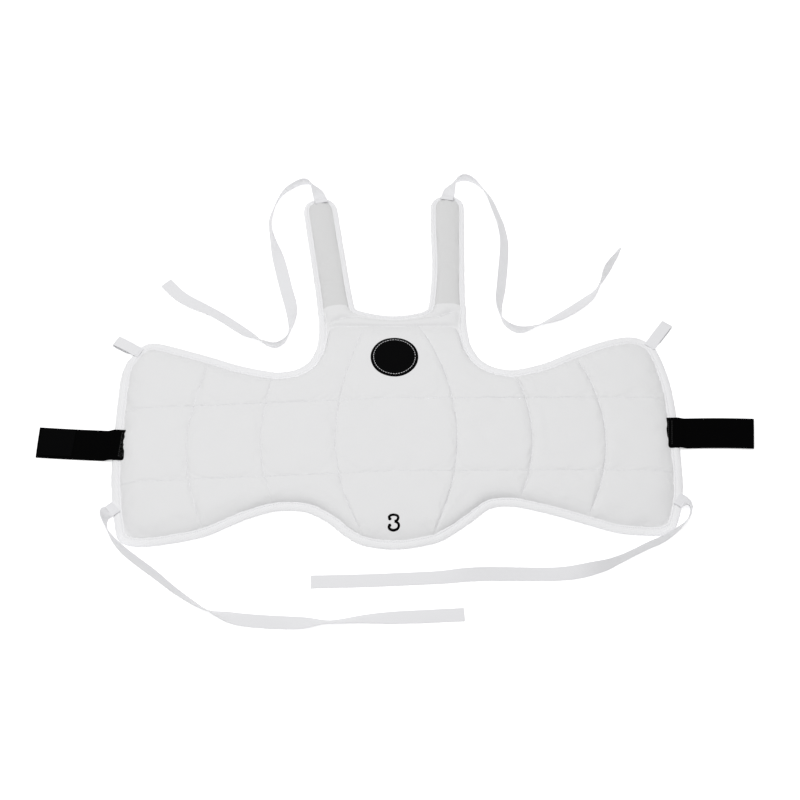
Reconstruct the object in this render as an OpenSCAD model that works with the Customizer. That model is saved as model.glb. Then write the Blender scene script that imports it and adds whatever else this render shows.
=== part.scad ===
// Padded chest protector lying face up, with its wearer's side on the ground.
// +X is the protector's right end as seen from the front, +Y is the neck, +Z is the front.

/* [Padding] */
// Height of the quilted front above the ground
pad_top = 13; // [11:0.5:16]
// Height of the front cloth where it meets a seam or the binding
pad_edge = 3.4; // [3.3:0.1:4]
// How deep the seams beside the middle channel pinch the pad, as a share of its height
groove = 0.42; // [0.2:0.01:0.6]
// How deep the two quilting lines across the body pinch the pad
line_groove = 0.16; // [0.05:0.01:0.3]
// Thickness of the front cloth
cloth = 0.9; // [0.6:0.1:1.2]
// Thickness of the lining
lining_t = 1.8; // [1.6:0.1:2]
// Half of the gap that a hinging seam leaves between two panels
seam_gap = 1; // [0.9:0.1:1.1]

/* [Binding] */
// Width of the binding that shows around the body
band_w = 9.7; // [8:0.1:11]
// Width of the binding on the shoulder straps and the neck
strap_band_w = 6.5; // [5:0.1:7]
// Thickness of the folded binding edge
band_t = 3.2; // [3:0.1:3.3]
// Thickness of the binding tape itself
tape_t = 0.9; // [0.7:0.1:1]

/* [Shoulder straps] */
// Length of a shoulder strap from its hinge line to its tip
strap_len = 163; // [150:1:175]
// Length of the lower part of a shoulder strap
strap_fold = 72; // [60:1:90]
// Half of the padded width of a shoulder strap
strap_half = 14; // [13:0.5:16]
// Height of the shoulder strap padding
strap_top = 9; // [7:0.5:11]

/* [Side straps, loops and ties] */
// Width of the elastic side straps
side_w = 38; // [30:1:42]
// Free length of a side strap
side_len = 81; // [60:1:95]
// Thickness of a side strap
side_t = 1.5; // [1.2:0.1:1.8]
// Width of the tie tapes
tie_w = 15; // [12:1:15]
// Thickness of the tie tapes
tie_t = 1.2; // [1:0.1:1.4]
// Width of the two tie loops
loop_w = 13; // [10:1:14]
// Thickness of the loop tape
loop_t = 1; // [0.8:0.1:1.2]

/* [Badge and size mark] */
// Radius of the round badge
badge_r = 27; // [20:0.5:28]
// Height of the size number
digit_h = 18.5; // [16:0.5:20]

/* [Hidden] */
$fn = 48;

white = "#e6e6e6";
tape_white = "#ebebf0";
lining_white = "#dcdcdc";
foam_white = "#f5f2e6";
black = "#0a0a0a";

// Panels are counted along s: 0 is the left end, 1 to 6 are the seams, 7 is the right end.
// Middle of each seam and end
mid_x = [-299.5, -227.5, -146.5, -65, 69, 151.5, 232, 304];
mid_y = -50;
// Inner edge of the binding as [s, x, y], along the bottom and along the top of the pad
bottom_edge = [
    [0, -285, -170], [0.12, -276, -172.6], [0.3, -262, -173], [0.6, -236, -169], [1, -204, -161.5],
    [1.4, -174, -147], [1.6, -160, -140.5], [2, -130, -131], [2.2, -112, -130], [2.4, -97, -131],
    [2.6, -81, -136.5], [2.8, -60, -150], [2.9, -48, -161], [3, -33, -171], [3.5, 4, -176], [4, 42, -169],
    [4.1, 53, -163], [4.3, 75, -147], [4.5, 95, -130.5], [4.6, 106, -126], [4.8, 122, -124.5],
    [5, 136, -126], [5.5, 172, -135.3], [6, 208, -147], [6.4, 240, -157], [6.7, 264, -159.5],
    [6.88, 281, -160], [7, 291, -157]
];
top_edge = [
    [0, -288, 56], [0.1, -282, 65.5], [0.2, -274, 67.5], [0.5, -248, 60.5], [1, -209, 48], [1.4, -179, 37.5],
    [2, -137, 28], [2.15, -124, 28.5], [2.35, -107, 32.5], [2.55, -91, 44], [2.75, -81, 63],
    [2.84, -77, 80], [2.91, -74, 93], [2.95, -66, 99.5], [3, -33, 100.5], [4, 27, 100.5],
    [4.05, 64, 99.5], [4.09, 72, 93], [4.16, 75.5, 80], [4.25, 80.5, 65], [4.45, 91, 48], [4.65, 106, 37],
    [4.85, 122, 32], [5, 136, 31], [5.6, 173, 40.5], [6, 205, 55.5], [6.5, 242, 70.5], [6.8, 266, 76],
    [6.9, 277, 74.5], [7, 288, 68]
];
// How square each end of the body is, below and above its middle
seam_bow = [[2.2, 2, 2, 2, 2, 2, 2, 4], [10, 1.4, 1.5, 1.75, 2, 2, 2, 3]];
// Stations across one panel, and up the three rows of quilting
across_end = [0, 0.03, 0.08, 0.14, 0.22, 0.36, 0.6, 0.84, 0.95, 1];
across_wing = [0, 0.05, 0.16, 0.38, 0.62, 0.84, 0.95, 1];
across_arm = [0, 0.06, 0.15, 0.25, 0.35, 0.45, 0.55, 0.65, 0.75, 0.84, 0.91, 0.95, 1];
across_mid = [0, 0.05, 0.16, 0.5, 0.84, 0.95, 1];
up = [0, 0.08, 0.25, 0.6, 0.93, 1, 1.06, 1.5, 1.94, 2, 2.07, 2.4, 2.75, 2.92, 3];
panel_w = 78;
// What a wing's binding keeps clear of the seams towards the chest and towards the flank
wing_chest_gap = 1.9;
wing_flank_gap = 1.2;
// Width of the body for one step of s beside those seams
seam_rate = 70;
row_h = 80;

// Shoulder straps: where the hinge line's middle is, and the lean from +Y
hinge_left = [-68, 126];
hinge_right = [61, 129];
lean_left = 8.6;
lean_right = -1;

// Side straps: the hinge's place, the way the strap leaves the body, and its turn
side_left = [-311.5, -58.5, 3.95];
side_right = [316, -43, 3.95];
turn_side_left = 176.7;
turn_side_right = 0;
sewn_len = 10;

// Tie loops: where the loop leaves the binding, and its direction
loop_left = [-297, 66.5];
loop_right = [296, 78];
turn_loop_left = 150;
turn_loop_right = 54;
loop_len_left = 26;
loop_len_right = 32;
loop_h = 6.8;

// Routes of the ties as [x, y, lift, roll]: roll turns the tape on its edge
upper_left_route = [
    [-91.2, 289, 3.2, 0], [-93, 295, 1.6, 15], [-97, 303, 0, 45], [-103, 309.5, 0, 70], [-112, 311, 0, 80],
    [-123, 305, 0, 80], [-135, 294, 0, 76], [-144, 275, 0, 72], [-148.5, 255, 0, 68], [-148, 236, 0, 78],
    [-143, 213, 0, 60], [-136, 191, 0, 20], [-127, 155, 0, 0], [-120, 127, 0, 20], [-118, 103, 0, 55],
    [-123, 81, 0, 78], [-135, 71, 0, 80], [-149, 75, 0, 74], [-169, 89, 0, 30], [-204, 115, 0, 24],
    [-246, 141, 0, 0], [-268, 163, 0, 0]
];
upper_right_route = [
    [65, 293.6, 3.2, 0], [66.5, 300, 1.6, -20], [71, 309, 0, -60], [78, 315.5, 0, -78], [87, 317, 0, -84],
    [99, 310, 0, -75], [113, 290, 0, -58], [122, 263, 0, -50], [127.5, 242, 0, -48], [130, 213, 0, -46],
    [125, 160, 0, -45], [121, 130, 0, -58], [123, 109, 0, -78], [132, 97, 0, -86], [145, 92, 0, -86],
    [162, 97, 0, -66], [192, 113, 0, -28], [222, 135, 0, -30], [236, 151, 0, -70], [249, 178, 0, -112],
    [266, 205, 0, -84]
];
lower_left_route = [
    [-304.8, -141.3, 3.2, 0], [-307.5, -143.5, 2, -25], [-309.3, -149.5, 0, -62], [-307.5, -158, 0, -80],
    [-303, -168, 0, -90], [-295.5, -178.5, 0, -98], [-285, -189.5, 0, -105], [-269, -202.5, 0, -107],
    [-249.5, -217.5, 0, -106], [-227, -236, 0, -98], [-203, -252.5, 0, -84], [-188, -259.5, 0, -62],
    [-165, -265, 0, -14], [-134, -268, 0, 0], [-97, -270, 0, -10], [-72, -271, 0, -52],
    [-54, -270, 0, -50], [-32, -267, 0, -34], [0, -264, 0, -10], [35, -262, 0, 0], [73, -260, 0, 0]
];
lower_right_route = [
    [311.6, -130.4, 3.2, 0], [315, -132.6, 2, -30], [317.4, -139, 0, -76], [314.5, -150, 0, -98],
    [306.5, -160, 0, -96], [296, -168.5, 0, -87], [284, -176.5, 0, -83], [267, -184.5, 0, -82],
    [251, -193, 0, -82], [235, -201, 0, -76], [216, -208, 0, -54], [174, -214, 0, -8], [90, -215, 0, -20],
    [43, -218, 0, 0], [-20, -221, 0, 0], [-87, -223, 0, 0]
];
tie_sewn_len = 6;
loop_sewn_len = 10;
patch_len = 40;
patch_w = 34;
patch_t = 1;
badge_x = 0;
badge_y = 51.5;
digit_y = -158;
digit_stroke = 3.4;

// ---- Curves ----
function lerp(a, b, t) = a + (b - a) * t;
function unit(v) = v / norm(v);
function reverse(list) = [for (i = [len(list) - 1 : -1 : 0]) list[i]];

// Row of a [s, x, y] list that s falls in
function row_of(rows, s, i = 0) = i >= len(rows) - 2 || s <= rows[i + 1][0] ? i : row_of(rows, s, i + 1);
function slope(rows, i, k) =
    let (a = rows[max(i - 1, 0)], b = rows[min(i + 1, len(rows) - 1)]) (b[k] - a[k]) / (b[0] - a[0]);
function hermite(a, b, ma, mb, t) =
    a * (2 * t ^ 3 - 3 * t ^ 2 + 1) + ma * (t ^ 3 - 2 * t ^ 2 + t) + b * (3 * t ^ 2 - 2 * t ^ 3)
    + mb * (t ^ 3 - t ^ 2);
// Smooth curve through the rows, at s
function curve(rows, s) =
    let (i = row_of(rows, s), h = rows[i + 1][0] - rows[i][0], t = (s - rows[i][0]) / h)
    [for (k = [1, 2])
        hermite(rows[i][k], rows[i + 1][k], slope(rows, i, k) * h, slope(rows, i + 1, k) * h, t)];

// A path moved sideways by d, to its left as it runs
function beside(path, d) = [
    for (i = [0 : len(path) - 1])
        let (t = unit(path[min(i + 1, len(path) - 1)] - path[max(i - 1, 0)])) path[i] + d * [-t.y, t.x]
];
// Outline of the strip between two distances to the left of a path
function strip(path, a, b) = concat(beside(path, a), reverse(beside(path, b)));

// ---- The quilted body ----
function low_line(x) = -95.5 + x * (x < 0 ? 0.047 : 0.004);
function high_line(x) = -2.5 + x * (x < 0 ? 0.046 : 0.004);
function middle(s) = let (i = min(floor(s), 6)) lerp(mid_x[i], mid_x[i + 1], s - i);
function bow_power(s, half) =
    let (i = min(floor(s), 6)) lerp(seam_bow[half][i], seam_bow[half][i + 1], s - i);
function level(b, t, x, v) =
    v < 1 ? lerp(b, low_line(x), v)
    : v < 2 ? lerp(low_line(x), high_line(x), v - 1)
    : lerp(high_line(x), t, v - 2);
// Point of the body at s across and v up: v is 0 at the bottom, 1 and 2 on the quilting lines, 3 at the top
function body_point(s, v) =
    let (b = curve(bottom_edge, s), t = curve(top_edge, s), x = middle(s), y = level(b.y, t.y, x, v))
    let (far = y < mid_y ? b : t, half = y < mid_y ? 0 : 1, u = min(1, abs((y - mid_y) / (far.y - mid_y))))
    [lerp(x, far.x, u ^ bow_power(s, half)), y];

function pinch(d, depth, reach) = 1 - depth * exp(-d / reach);
function seam_depth(s) = s == 3 || s == 4 ? groove : 1;
function body_height(s, v) =
    let (i = min(floor(s), 6), u = s - i, w = i == 3 ? 1.6 * panel_w : panel_w)
    let (row = min(v, 3 - v) * row_h, line = min(abs(v - 1), abs(v - 2)) * row_h)
    let (full = pinch(u * w, seam_depth(i), 9) * pinch((1 - u) * w, seam_depth(i + 1), 9)
        * pinch(row, 1, 9) * pinch(line, line_groove, 6))
    min(pad_top, pad_edge + (pad_top + 0.8 - pad_edge) * full);

// Grid of body points; ends are moved in by gap, and the whole edge by inset
function body_grid(ss, gaps, inset, drop) =
    let (n = len(ss) - 1, m = len(up) - 1)
    [for (i = [0 : m]) [for (j = [0 : n])
        let (p = body_point(ss[j], up[i]), z = body_height(ss[j], up[i]) - drop)
        let (dx = j == 0 ? gaps[0] + inset : j == n ? -gaps[1] - inset : 0)
        let (dy = i == 0 ? inset : i == m ? -inset : 0)
        [p.x + dx, p.y + dy, z]
    ]];

function stations(first, list) = [for (u = list) first + u];
function mirrored(list) = reverse([for (u = list) 1 - u]);
chest_s = concat(stations(2, across_arm), [for (u = across_mid) if (u > 0) 3 + u],
    [for (u = mirrored(across_arm)) if (u > 0) 4 + u]);
wing_left_s = stations(1, across_wing);
wing_right_s = stations(5, across_wing);
flank_left_s = stations(0, across_end);
flank_right_s = stations(6, mirrored(across_end));

// Indices of a grid's edge, counter-clockwise from its first corner
function rim(m, n) = concat(
    [for (j = [0 : n - 1]) [0, j]], [for (i = [1 : m - 1]) [i, n - 1]],
    [for (j = [n - 2 : -1 : 0]) [m - 1, j]], [for (i = [m - 2 : -1 : 1]) [i, 0]]
);
function flat_list(grid) = [for (row = grid) for (p = row) p];
function cells(m, n, from, facing_up) = [
    for (i = [0 : m - 2]) for (j = [0 : n - 2])
        let (a = from + i * n + j, b = a + 1, c = b + n, d = a + n)
        each facing_up ? [[a, c, b], [a, d, c]] : [[a, b, c], [a, c, d]]
];
function wall(upper, lower) = [
    for (k = [0 : len(upper) - 1])
        let (l = (k + 1) % len(upper))
        each [[upper[k], upper[l], lower[l]], [upper[k], lower[l], lower[k]]]
];

// Edge points of a grid, dropped to height z
function foot(grid, z) = [for (r = rim(len(grid), len(grid[0]))) let (p = grid[r[0]][r[1]]) [p.x, p.y, z]];

// Closed cloth shell: outer grid, inner grid and a rim that stands at height z
module shell(outer, inner, z) {
    m = len(outer);
    n = len(outer[0]);
    ring = rim(m, n);
    count = m * n;
    k = len(ring);
    out_top = [for (r = ring) r[0] * n + r[1]];
    in_top = [for (i = out_top) i + count];
    out_base = [for (i = [0 : k - 1]) 2 * count + i];
    in_base = [for (i = out_base) i + k];
    polyhedron(
        points = concat(flat_list(outer), flat_list(inner), foot(outer, z), foot(inner, z)),
        faces = concat(cells(m, n, 0, true), cells(m, n, count, false), wall(out_top, out_base),
            wall(out_base, in_base), wall(in_base, in_top)),
        convexity = 6
    );
}

// Solid under a grid, down to height z
module filling(grid, z) {
    m = len(grid);
    n = len(grid[0]);
    top = [for (r = rim(m, n)) r[0] * n + r[1]];
    base = [for (i = top) i + m * n];
    polyhedron(
        points = concat(flat_list(grid), [for (p = flat_list(grid)) [p.x, p.y, z]]),
        faces = concat(cells(m, n, 0, true), cells(m, n, m * n, false), wall(top, base)),
        convexity = 6
    );
}

module quilted_cloth(ss, gaps) {
    color(white) shell(body_grid(ss, gaps, 0, 0), body_grid(ss, gaps, 1, cloth), lining_t);
}

module foam(ss, gaps) {
    color(foam_white) filling(body_grid(ss, gaps, 1, cloth), lining_t);
}

// Paths along a panel's outside edges, with the body on their right
function with_gaps(path, gaps) = [
    for (i = [0 : len(path) - 1])
        path[i] + [i == 0 ? gaps[0] : i == len(path) - 1 ? -gaps[1] : 0, 0]
];
function top_path(ss, gaps) = with_gaps([for (s = ss) curve(top_edge, s)], gaps);
function bottom_path(ss, gaps) = reverse(with_gaps([for (s = ss) curve(bottom_edge, s)], gaps));
function end_path(s) = [for (i = [1 : len(up) - 2]) body_point(s, up[i])];
flank_left_path = concat(bottom_path(flank_left_s, [0, seam_gap]), end_path(0),
    top_path(flank_left_s, [0, seam_gap]));
flank_right_path = concat(top_path(flank_right_s, [seam_gap, 0]), reverse(end_path(7)),
    bottom_path(flank_right_s, [seam_gap, 0]));
neck_path = [
    [-46.9, 128], [-46.3, 126], [-44.3, 124], [-41, 122.6], [-33, 120.2], [-19, 116.8], [0, 115],
    [17, 116.8], [29, 119.6], [35.5, 122.4], [38.6, 125.2], [39.6, 128.3]
];
// Sides of the yoke, from the pad up to the left strap and from the right strap down to the pad
yoke_left = [[-77.3, 90], [-77.3, 103], [-77.9, 115.6], [-79, 123.4]];
yoke_right = [[72.3, 127.8], [72.8, 103], [74.8, 90]];
arm_left_path = concat([for (s = chest_s) if (s <= 2.84) curve(top_edge, s)], yoke_left);
arm_right_path = concat(yoke_right, [for (s = chest_s) if (s >= 4.16) curve(top_edge, s)]);
arm_left_bound = with_gaps(arm_left_path, [seam_gap, 0]);
arm_right_bound = with_gaps(arm_right_path, [0, seam_gap]);

// Folded tape around an edge: two lips and the fold
module binding(path, width) {
    color(tape_white) {
        linear_extrude(tape_t) polygon(strip(path, 0, width));
        translate([0, 0, lining_t]) linear_extrude(band_t - lining_t) polygon(strip(path, 0, width));
        linear_extrude(band_t) polygon(strip(path, width - tape_t, width));
    }
}

// Lining: flat on the ground inside the binding, and reaching into the binding's fold
module lining(outline, paths, width) {
    color(lining_white) {
        linear_extrude(lining_t) polygon(outline);
        for (path = paths)
            translate([0, 0, tape_t]) linear_extrude(lining_t - tape_t)
                polygon(strip(path, -1, width - tape_t));
    }
}

function panel_outline(ss, gaps) = let (g = body_grid(ss, gaps, 0, 0)) [
    for (r = rim(len(g), len(g[0]))) [g[r[0]][r[1]].x, g[r[0]][r[1]].y]
];

// ---- Chest ----
chest_gaps = [seam_gap, seam_gap];
neck_inner = beside(neck_path, -strap_band_w);
yoke_seam = [for (s = chest_s) if (s > 2.83 && s < 4.17) curve(top_edge, s)];
yoke_outline = concat(yoke_seam, reverse(yoke_right), reverse(neck_inner), reverse(yoke_left));

module chest_front_cloth() {
    quilted_cloth(chest_s, chest_gaps);
}

module chest_foam() {
    foam(chest_s, chest_gaps);
}

module chest_lining() {
    hem = bottom_path(chest_s, chest_gaps);
    lining(panel_outline(chest_s, chest_gaps), [arm_left_bound, arm_right_bound, hem], band_w);
    lining(yoke_outline, [neck_inner], strap_band_w);
}

module yoke_panel() {
    color(white) translate([0, 0, lining_t]) linear_extrude(3) polygon(yoke_outline);
}

module neck_binding() {
    binding(neck_inner, strap_band_w);
}

module hem_binding() {
    binding(bottom_path(chest_s, chest_gaps), band_w);
}

module armhole_binding_left() {
    binding(arm_left_bound, band_w);
}

module armhole_binding_right() {
    binding(arm_right_bound, band_w);
}

// Thin layer that follows the middle channel's surface
module printed_layer(t) {
    ss = stations(3, across_mid);
    shell(body_grid(ss, [0, 0], 0, -t), body_grid(ss, [0, 0], 0, 0), 0);
}

module badge_patch() {
    color(black) translate([badge_x, badge_y, pad_top]) {
        cylinder(r = badge_r, h = 0.6);
        difference() {
            cylinder(r = badge_r, h = 1);
            translate([0, 0, -1]) cylinder(r = badge_r - 2.5, h = 3);
        }
    }
}

function arc_points(r, from, to) = [for (i = [0 : 12]) let (a = lerp(from, to, i / 12)) r * [cos(a), sin(a)]];

// One bowl of the size number, open on its left, with a round end at angle from
module bowl(r, from, to) {
    mid = r - digit_stroke / 2;
    turn = from > to ? 30 : -30;
    cap = [for (k = [1 : 5]) mid * [cos(from), sin(from)]
        + digit_stroke / 2 * [cos(from + k * turn), sin(from + k * turn)]];
    polygon(concat(arc_points(r, to, from), cap, arc_points(r - digit_stroke, from, to)));
}

module size_number() {
    r = 0.285 * digit_h;
    color(black) intersection() {
        printed_layer(0.4);
        translate([0, digit_y, 0]) linear_extrude(2 * pad_top) {
            translate([0, digit_h / 2 - r]) bowl(r, 160, -90);
            translate([0, r - digit_h / 2]) bowl(r, -160, 90);
        }
    }
}

// ---- Wings and flanks ----
module wing_lining(ss) {
    both = [seam_gap, seam_gap];
    lining(panel_outline(ss, both), [top_path(ss, both), bottom_path(ss, both)], band_w);
}

module wing_binding(ss, gaps) {
    last = len(ss) - 1;
    cut = [for (i = [0 : last]) ss[i] + (i == 0 ? gaps[0] : i == last ? -gaps[1] : 0) / seam_rate];
    binding(top_path(cut, [0, 0]), band_w);
    binding(bottom_path(cut, [0, 0]), band_w);
}

module wing_front_cloth_left() {
    quilted_cloth(wing_left_s, [seam_gap, seam_gap]);
}

module wing_foam_left() {
    foam(wing_left_s, [seam_gap, seam_gap]);
}

module wing_lining_left() {
    wing_lining(wing_left_s);
}

module wing_binding_left() {
    wing_binding(wing_left_s, [wing_flank_gap, wing_chest_gap]);
}

module wing_front_cloth_right() {
    quilted_cloth(wing_right_s, [seam_gap, seam_gap]);
}

module wing_foam_right() {
    foam(wing_right_s, [seam_gap, seam_gap]);
}

module wing_lining_right() {
    wing_lining(wing_right_s);
}

module wing_binding_right() {
    wing_binding(wing_right_s, [wing_chest_gap, wing_flank_gap]);
}

module flank_front_cloth_left() {
    quilted_cloth(flank_left_s, [0, seam_gap]);
}

module flank_foam_left() {
    foam(flank_left_s, [0, seam_gap]);
}

module flank_lining_left() {
    lining(panel_outline(flank_left_s, [0, seam_gap]), [flank_left_path], band_w);
}

module flank_binding_left() {
    binding(flank_left_path, band_w);
}

module flank_front_cloth_right() {
    quilted_cloth(flank_right_s, [seam_gap, 0]);
}

module flank_foam_right() {
    foam(flank_right_s, [seam_gap, 0]);
}

module flank_lining_right() {
    lining(panel_outline(flank_right_s, [seam_gap, 0]), [flank_right_path], band_w);
}

module flank_binding_right() {
    binding(flank_right_path, band_w);
}

// ---- Shoulder straps, made along +Y from the hinge line ----
pad_len = strap_len - strap_band_w;
tip_round = 16;
across_strap = [-1, -0.8, -0.45, 0, 0.45, 0.8, 1];
along_base = [seam_gap, 5, 14, strap_fold / 2, strap_fold - 14, strap_fold - 5, strap_fold - seam_gap];
along_tip = [strap_fold + seam_gap, strap_fold + 5, strap_fold + 14, strap_fold + 36, pad_len - 24,
    pad_len - tip_round, pad_len - 11, pad_len - 7, pad_len - 4, pad_len - 1.8, pad_len];
function strap_width(w) =
    let (u = max(0, w - pad_len + tip_round) / (tip_round + 1))
    (strap_half + exp(-w / 15)) * (1 - u ^ 3) ^ 0.4;
function strap_height(w, c) =
    let (full = pinch((1 - abs(c)) * strap_half, 1, 5) * pinch(w, 1, 6) * pinch(abs(w - strap_fold), 1, 6)
        * pinch(pad_len - w, 1, 5))
    min(strap_top, pad_edge + (strap_top + 1 - pad_edge) * full);
function strap_grid(ws, inset, drop) =
    let (m = len(ws) - 1)
    [for (i = [0 : m]) [for (c = across_strap)
        let (w = ws[i], dw = i == 0 ? inset : i == m ? -inset : 0)
        [c * (strap_width(w) - inset), w + dw, strap_height(w, c) - drop]
    ]];
function strap_side(ws, side) = [for (w = ws) [side * strap_width(w), w]];
strap_tip_path = concat(strap_side(along_tip, -1), reverse(strap_side(along_tip, 1)));

module on_strap(hinge, lean) {
    translate([hinge.x, hinge.y, 0]) rotate([0, 0, lean]) children();
}

module strap_cloth(ws) {
    color(white) shell(strap_grid(ws, 0, 0), strap_grid(ws, 1, cloth), lining_t);
}

module strap_wadding(ws) {
    color(foam_white) filling(strap_grid(ws, 1, cloth), lining_t);
}

module strap_base_lining() {
    left = strap_side(along_base, -1);
    right = reverse(strap_side(along_base, 1));
    reach = strap_band_w - tape_t;
    color(lining_white) {
        linear_extrude(tape_t) polygon(concat(left, right));
        translate([0, 0, tape_t]) linear_extrude(lining_t - tape_t)
            polygon(concat(beside(left, reach), beside(right, reach)));
    }
}

module strap_base_binding() {
    binding(strap_side(along_base, -1), strap_band_w);
    binding(reverse(strap_side(along_base, 1)), strap_band_w);
}

module strap_tip_lining() {
    lining(strap_tip_path, [strap_tip_path], strap_band_w);
}

module shoulder_cloth_left() {
    on_strap(hinge_left, lean_left) strap_cloth(along_base);
}

module shoulder_wadding_left() {
    on_strap(hinge_left, lean_left) strap_wadding(along_base);
}

module shoulder_lining_left() {
    on_strap(hinge_left, lean_left) strap_base_lining();
}

module shoulder_binding_left() {
    on_strap(hinge_left, lean_left) strap_base_binding();
}

module shoulder_cloth_right() {
    on_strap(hinge_right, lean_right) strap_cloth(along_base);
}

module shoulder_wadding_right() {
    on_strap(hinge_right, lean_right) strap_wadding(along_base);
}

module shoulder_lining_right() {
    on_strap(hinge_right, lean_right) strap_base_lining();
}

module shoulder_binding_right() {
    on_strap(hinge_right, lean_right) strap_base_binding();
}

module shoulder_tip_cloth_left() {
    on_strap(hinge_left, lean_left) strap_cloth(along_tip);
}

module shoulder_tip_wadding_left() {
    on_strap(hinge_left, lean_left) strap_wadding(along_tip);
}

module shoulder_tip_lining_left() {
    on_strap(hinge_left, lean_left) strap_tip_lining();
}

module shoulder_tip_binding_left() {
    on_strap(hinge_left, lean_left) binding(strap_tip_path, strap_band_w);
}

module shoulder_tip_cloth_right() {
    on_strap(hinge_right, lean_right) strap_cloth(along_tip);
}

module shoulder_tip_wadding_right() {
    on_strap(hinge_right, lean_right) strap_wadding(along_tip);
}

module shoulder_tip_lining_right() {
    on_strap(hinge_right, lean_right) strap_tip_lining();
}

module shoulder_tip_binding_right() {
    on_strap(hinge_right, lean_right) binding(strap_tip_path, strap_band_w);
}

// ---- Side straps, made along +X from the hinge's axis ----
module on_side(place, turn) {
    translate(place) rotate([0, 0, turn]) children();
}

// Side view, in X and Z, given a width along Y
module across(width) {
    rotate([90, 0, 0]) translate([0, 0, -width / 2]) linear_extrude(width) children();
}

module side_strap(place, turn, lift) {
    run = side_t / 2 + lift - place.z;
    color(black) on_side(place, turn) across(side_w) {
        circle(side_t / 2);
        polygon(strip([[0, 0], [2, -0.2], [4, run / 2], [7, run], [side_len, run]], -side_t / 2, side_t / 2));
    }
}

module side_sewn_end(place, turn) {
    color(black) on_side(place, turn) across(side_w)
        translate([-sewn_len, -side_t / 2]) square([sewn_len - side_t / 2 - 0.3, side_t]);
}

// Closing patch on the last part of a side strap
module closing_patch(place, turn, z) {
    color(black) on_side([place.x, place.y, 0], turn)
        translate([side_len - patch_len, patch_w / -2, z]) cube([patch_len - 1, patch_w, patch_t]);
}

module side_strap_left() {
    side_strap(side_left, turn_side_left, 0);
}

module side_strap_right() {
    side_strap(side_right, turn_side_right, patch_t);
}

module side_strap_sewn_end_left() {
    side_sewn_end(side_left, turn_side_left);
}

module side_strap_sewn_end_right() {
    side_sewn_end(side_right, turn_side_right);
}

module loop_patch() {
    closing_patch(side_left, turn_side_left, side_t);
}

module hook_patch() {
    closing_patch(side_right, turn_side_right, 0);
}

// ---- Tie loops ----
function around(centre, r, from, to) = [for (p = arc_points(r, from, to)) centre + p];
module tie_loop(place, turn, length) {
    r = loop_h / 2;
    inner = r - loop_t;
    end = [length - r, r];
    color(tape_white) translate(place) rotate([0, 0, turn]) across(loop_w) difference() {
        polygon(concat([[9, 0], [0, band_t], [0, band_t + 2 * loop_t], [5, loop_h - 0.4], [9, loop_h]],
            around(end, r, 90, -90)));
        polygon(concat([[9, loop_t], [3, band_t + loop_t], [9, loop_h - loop_t]],
            around(end, inner, 90, -90)));
    }
}

module loop_sewn_end(place, turn) {
    color(tape_white) translate(place) rotate([0, 0, turn])
        translate([-loop_sewn_len, -loop_w / 2, band_t]) cube([loop_sewn_len, loop_w, 2 * loop_t]);
}

module tie_loop_left() {
    tie_loop(loop_left, turn_loop_left, loop_len_left);
}

module tie_loop_right() {
    tie_loop(loop_right, turn_loop_right, loop_len_right);
}

module tie_loop_sewn_end_left() {
    loop_sewn_end(loop_left, turn_loop_left);
}

module tie_loop_sewn_end_right() {
    loop_sewn_end(loop_right, turn_loop_right);
}

// ---- Ties: a flat tape swept along a route that lies on the ground ----
tie_section = let (w = tie_w / 2, t = tie_t / 2, e = 0.3)
    [[w, t - e], [w - e, t], [e - w, t], [-w, t - e], [-w, e - t], [e - w, -t], [w - e, -t], [w, e - t]];
function route_point(r) =
    [r.x, r.y, r[2] + tie_t / 2 * abs(cos(r[3])) + tie_w / 2 * abs(sin(r[3]))];
function route_way(route, i) =
    let (a = route[max(i - 1, 0)], b = route[min(i + 1, len(route) - 1)]) unit([b.x - a.x, b.y - a.y]);
function tie_ring(route, i) =
    let (t = route_way(route, i), roll = route[i][3], left = [-t.y, t.x, 0], up_way = [0, 0, 1])
    let (wide = left * cos(roll) + up_way * sin(roll), thick = up_way * cos(roll) - left * sin(roll))
    [for (p = tie_section) route_point(route[i]) + wide * p.x + thick * p.y];

// Both faces of the tape are split along the same diagonal, so that a twist keeps its thickness
module tie(route) {
    n = len(tie_section);
    rings = [for (i = [0 : len(route) - 1]) tie_ring(route, i)];
    color(tape_white) polyhedron(
        points = flat_list(rings),
        faces = concat(
            [[for (j = [0 : n - 1]) j]],
            [for (i = [0 : len(rings) - 2]) for (j = [0 : n - 1])
                let (a = i * n + j, b = i * n + (j + 1) % n, c = b + n, d = a + n)
                each j < n / 2 ? [[a, d, c], [a, c, b]] : [[a, d, b], [b, d, c]]],
            [[for (j = [n - 1 : -1 : 0]) (len(rings) - 1) * n + j]]
        ),
        convexity = 8
    );
}

module tie_sewn_end(route) {
    way = route_way(route, 0);
    color(tape_white) translate([route[0].x, route[0].y, route[0][2]]) rotate([0, 0, atan2(way.y, way.x)])
        translate([-tie_sewn_len, -tie_w / 2, 0]) cube([tie_sewn_len, tie_w, tie_t]);
}

module upper_tie_left() {
    tie(upper_left_route);
}

module upper_tie_right() {
    tie(upper_right_route);
}

module lower_tie_left() {
    tie(lower_left_route);
}

module lower_tie_right() {
    tie(lower_right_route);
}

module upper_tie_sewn_end_left() {
    tie_sewn_end(upper_left_route);
}

module upper_tie_sewn_end_right() {
    tie_sewn_end(upper_right_route);
}

module lower_tie_sewn_end_left() {
    tie_sewn_end(lower_left_route);
}

module lower_tie_sewn_end_right() {
    tie_sewn_end(lower_right_route);
}

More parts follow.
